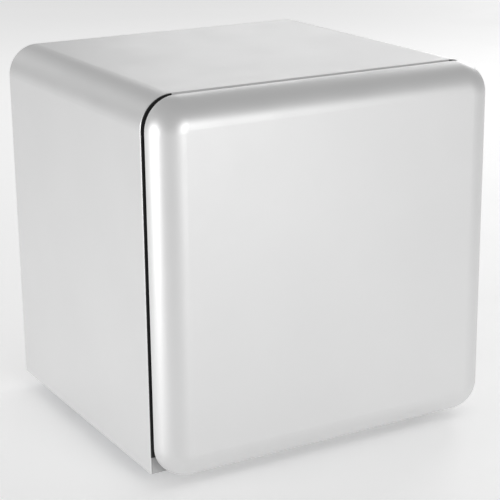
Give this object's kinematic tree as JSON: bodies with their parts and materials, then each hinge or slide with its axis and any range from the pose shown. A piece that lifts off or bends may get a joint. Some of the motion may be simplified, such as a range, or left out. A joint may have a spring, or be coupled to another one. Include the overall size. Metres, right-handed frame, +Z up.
{
  "type": "mini fridge",
  "caption": "Cube mini fridge with a rounded slab door, steel cabinet, ice box, shelf, door racks, compressor and levelling feet.",
  "frame": {"origin": "centre of the footprint on the floor, under the feet", "axes": "+Z up, front with the door towards -Y, hinge side towards +X"},
  "size_m": [0.472, 0.449, 0.482],
  "materials": {
    "silver_paint": "satin",
    "grey_sheet": "satin",
    "zinc_sheet": "satin",
    "zinc_screw": "satin",
    "dark_frame": "matte",
    "dark_seal": "matte",
    "liner_white": "satin",
    "foam": "matte",
    "black_paint": "satin",
    "black_rubber": "matte",
    "copper": "satin",
    "aluminium": "satin",
    "white_plastic": "satin",
    "clear_plastic": "gloss",
    "grey_plastic": "matte",
    "glass": "polished",
    "acetal": "satin"
  },
  "bodies": {
    "cabinet": {"outer_wrap": "silver_paint", "front_frame": "dark_frame", "front_sill": "grey_sheet", "base_pan": "zinc_sheet", "rear_panel": "silver_paint", "rear_panel_screws": "zinc_screw", "step_panel": "zinc_sheet", "inner_liner": "liner_white", "cabinet_foam": "foam", "compressor_rail": "zinc_sheet", "cord_gland": "black_rubber", "compressor_can": "black_paint", "compressor_lid": "black_paint", "compressor_mount_plate": "black_paint", "compressor_grommets": "black_rubber", "compressor_bolts": "zinc_screw", "terminal_cover": "grey_plastic", "start_relay": "grey_plastic", "condenser_coil": "copper", "discharge_tube": "copper", "filter_drier": "copper", "capillary_tube": "copper", "suction_tube": "copper", "process_tube": "copper", "evaporator": "aluminium", "evaporator_spacers": "white_plastic", "evaporator_screws": "zinc_screw", "freezer_frame": "white_plastic", "tray_rails": "white_plastic", "thermostat_housing": "white_plastic", "thermostat_body": "zinc_sheet", "sensor_tube": "copper", "lower_hinge_bracket": "zinc_sheet", "upper_hinge_bracket": "zinc_sheet", "hinge_pins": "zinc_screw", "hinge_washers": "acetal", "hinge_screws": "zinc_screw", "hinge_backing_plates": "zinc_sheet", "foot_nuts": "acetal", "rear_feet": "black_rubber"},
    "door": {"door_skin": "silver_paint", "door_foam": "foam", "door_liner": "liner_white", "door_gasket": "dark_seal", "hinge_blocks": "grey_plastic", "hinge_bushes": "acetal"},
    "lower_rack": {"lower_rack": "clear_plastic"},
    "upper_rack": {"upper_rack": "clear_plastic"},
    "freezer_flap": {"freezer_flap": "clear_plastic"},
    "drip_tray": {"drip_tray": "clear_plastic"},
    "shelf": {"shelf_glass": "glass", "shelf_trims": "white_plastic"},
    "thermostat_knob": {"thermostat_knob": "white_plastic", "thermostat_shaft": "acetal"},
    "left_foot_pad": {"left_foot_pad": "black_rubber"},
    "left_foot_stud": {"left_foot_stud": "zinc_screw"},
    "right_foot_pad": {"right_foot_pad": "black_rubber"},
    "right_foot_stud": {"right_foot_stud": "zinc_screw"}
  },
  "joints": [
    {"name": "door_hinge", "type": "hinge", "parent": "cabinet", "child": "door", "pos_m": [0.227, -0.1985, 0.249], "axis": [0, 0, 1], "range_deg": [0, 110]},
    {"name": "lower_rack_lift", "type": "slide", "parent": "door", "child": "lower_rack", "axis": [0, 0, 1], "range_m": [0, 0.025]},
    {"name": "upper_rack_lift", "type": "slide", "parent": "door", "child": "upper_rack", "axis": [0, 0, 1], "range_m": [0, 0.025]},
    {"name": "flap_hinge", "type": "hinge", "parent": "cabinet", "child": "freezer_flap", "pos_m": [-0.036, -0.054, 0.428], "axis": [-1, 0, 0], "range_deg": [0, 85]},
    {"name": "drip_tray_slide", "type": "slide", "parent": "cabinet", "child": "drip_tray", "axis": [0, -1, 0], "range_m": [0, 0.075]},
    {"name": "shelf_slide", "type": "slide", "parent": "cabinet", "child": "shelf", "axis": [0, -1, 0], "range_m": [0, 0.045]},
    {"name": "thermostat_turn", "type": "hinge", "parent": "cabinet", "child": "thermostat_knob", "pos_m": [0.16, -0.0385, 0.41], "axis": [0, 1, 0], "range_deg": [0, 270]},
    {"name": "left_foot_level", "type": "slide", "parent": "cabinet", "child": "left_foot_pad", "axis": [0, 0, -1], "range_m": [0, 0.01]},
    {"name": "left_foot_turn", "type": "hinge", "parent": "left_foot_pad", "child": "left_foot_stud", "pos_m": [-0.175, -0.1335, 0.02], "axis": [0, 0, -1], "range_deg": [0, 2880.1]},
    {"name": "right_foot_level", "type": "slide", "parent": "cabinet", "child": "right_foot_pad", "axis": [0, 0, -1], "range_m": [0, 0.01]},
    {"name": "right_foot_turn", "type": "hinge", "parent": "right_foot_pad", "child": "right_foot_stud", "pos_m": [0.175, -0.1335, 0.02], "axis": [0, 0, -1], "range_deg": [0, 2880.1]}
  ],
  "couplings": [
    {"joint": "left_foot_turn", "follows": "left_foot_level", "rad_per_m": 5026.5},
    {"joint": "right_foot_turn", "follows": "right_foot_level", "rad_per_m": 5026.5}
  ]
}
